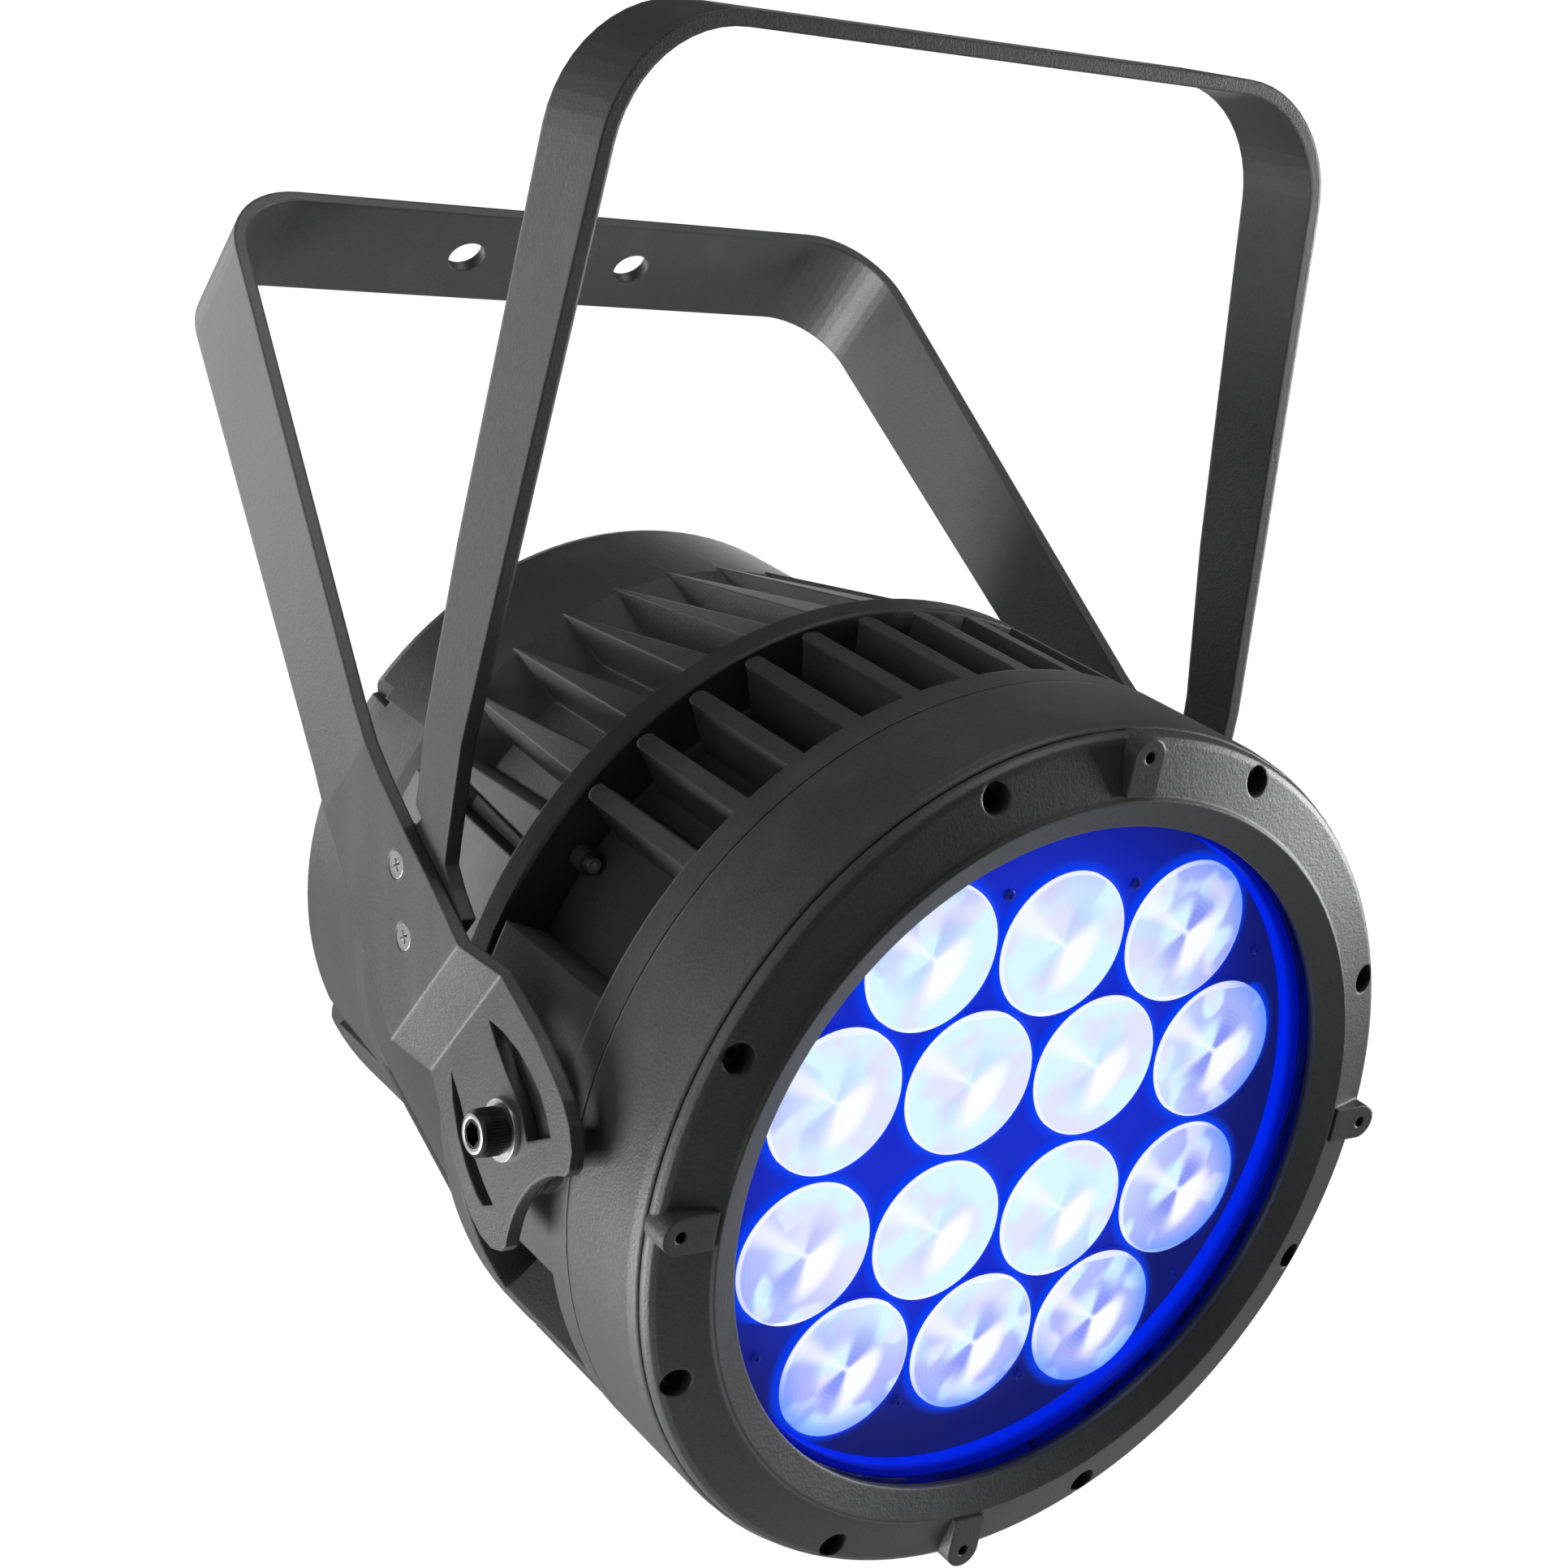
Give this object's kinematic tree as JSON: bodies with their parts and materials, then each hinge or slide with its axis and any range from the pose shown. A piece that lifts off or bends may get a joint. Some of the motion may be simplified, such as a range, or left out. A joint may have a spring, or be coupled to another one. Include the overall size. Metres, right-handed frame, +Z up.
{
  "type": "par can light",
  "caption": "LED zoom par can on a double yoke: finned dark grey head that tilts between two bent brackets, with a sliding lens carrier.",
  "frame": {"origin": "centre of the middle clamp hole, on the outer face of the mounting yoke's bar", "axes": "+X along the tilt axis, -Y the way the lamp faces (it looks 17.7 degrees below level at rest), +Z up"},
  "size_m": [0.2982, 0.3207, 0.4402],
  "materials": {
    "charcoal_paint": "fine textured powder coat",
    "charcoal_casting": "fine textured powder coat on a casting",
    "black_steel": "black oxide",
    "bright_steel": "zinc plated",
    "black_rubber": "matt",
    "clear_glass": "clear",
    "lens_plastic": "clear, lit from behind",
    "blue_plate": "dark blue in the lamp's light",
    "lit_well": "white reflector glowing blue",
    "circuit_board": "solder mask",
    "white_board": "white solder mask on metal",
    "led_phosphor": "cast silicone",
    "bare_aluminium": "satin",
    "motor_steel": "dull",
    "contact_brass": "bright",
    "black_plastic": "fine grain",
    "blue_plastic": "fine grain",
    "grey_plastic": "fine grain",
    "button_rubber": "smooth",
    "display_plastic": "smoked"
  },
  "bodies": {
    "yoke": {"mounting_yoke": "charcoal_paint", "floor_bracket": "charcoal_paint", "bracket_screws": "bright_steel"},
    "head": {"pivot_bolts": "black_steel", "pivot_washers": "bright_steel", "friction_discs": "black_rubber", "pivot_inserts": "bright_steel", "bezel_ring": "charcoal_casting", "bezel_screws": "black_steel", "bezel_gasket": "black_rubber", "front_glass": "clear_glass", "glass_gasket": "black_rubber", "front_shell": "charcoal_casting", "light_well": "lit_well", "heatsink_casting": "charcoal_casting", "rear_gasket": "black_rubber", "rear_housing": "charcoal_casting", "housing_screws": "bright_steel", "rear_cap": "charcoal_casting", "rear_cap_screws": "bright_steel", "led_board": "white_board", "led_emitters": "led_phosphor", "collimators": "lens_plastic", "guide_rods": "bright_steel", "zoom_motors": "motor_steel", "motor_screws": "bright_steel", "board_pillars": "bright_steel", "driver_board": "circuit_board", "electronics_tray": "bare_aluminium", "power_supply": "bare_aluminium", "control_board": "circuit_board", "display_window": "display_plastic", "power_inlet": "blue_plastic", "power_outlet": "grey_plastic", "data_inlet": "black_plastic", "data_outlet": "black_plastic", "socket_contacts": "contact_brass", "connector_screws": "bright_steel", "fuse_holder": "black_plastic", "vent_plug": "black_plastic", "safety_eye": "bright_steel"},
    "carrier": {"lens_carrier": "blue_plate", "zoom_lenses": "lens_plastic"},
    "screw_upper": {"lead_screw_upper": "bright_steel"},
    "screw_lower": {"lead_screw_lower": "bright_steel"},
    "menu_key": {"menu_button": "button_rubber"},
    "up_key": {"up_button": "button_rubber"},
    "down_key": {"down_button": "button_rubber"},
    "enter_key": {"enter_button": "button_rubber"}
  },
  "joints": [
    {"name": "head_tilt", "type": "hinge", "parent": "yoke", "child": "head", "pos_m": [0, -0.20553, -0.25562], "axis": [1, 0, 0], "range_deg": [-125, 125]},
    {"name": "zoom", "type": "slide", "parent": "head", "child": "carrier", "axis": [0, 0.9527, 0.304], "range_m": [0, 0.02]},
    {"name": "screw_upper_turn", "type": "hinge", "parent": "head", "child": "screw_upper", "pos_m": [0, -0.22253, -0.16385], "axis": [0, 0.9527, 0.304], "range_deg": [-1, 901]},
    {"name": "screw_lower_turn", "type": "hinge", "parent": "head", "child": "screw_lower", "pos_m": [0, -0.16623, -0.34028], "axis": [0, 0.9527, 0.304], "range_deg": [-1, 901]},
    {"name": "menu_press", "type": "slide", "parent": "head", "child": "menu_key", "axis": [0, -0.9527, -0.304], "range_m": [0, 0.001], "stiffness_N_per_m": 1500, "springref_m": -0.0006},
    {"name": "up_press", "type": "slide", "parent": "head", "child": "up_key", "axis": [0, -0.9527, -0.304], "range_m": [0, 0.001], "stiffness_N_per_m": 1500, "springref_m": -0.0006},
    {"name": "down_press", "type": "slide", "parent": "head", "child": "down_key", "axis": [0, -0.9527, -0.304], "range_m": [0, 0.001], "stiffness_N_per_m": 1500, "springref_m": -0.0006},
    {"name": "enter_press", "type": "slide", "parent": "head", "child": "enter_key", "axis": [0, -0.9527, -0.304], "range_m": [0, 0.001], "stiffness_N_per_m": 1500, "springref_m": -0.0006}
  ],
  "couplings": [
    {"joint": "screw_upper_turn", "follows": "zoom", "rad_per_m": 785.4},
    {"joint": "screw_lower_turn", "follows": "zoom", "rad_per_m": 785.4}
  ]
}
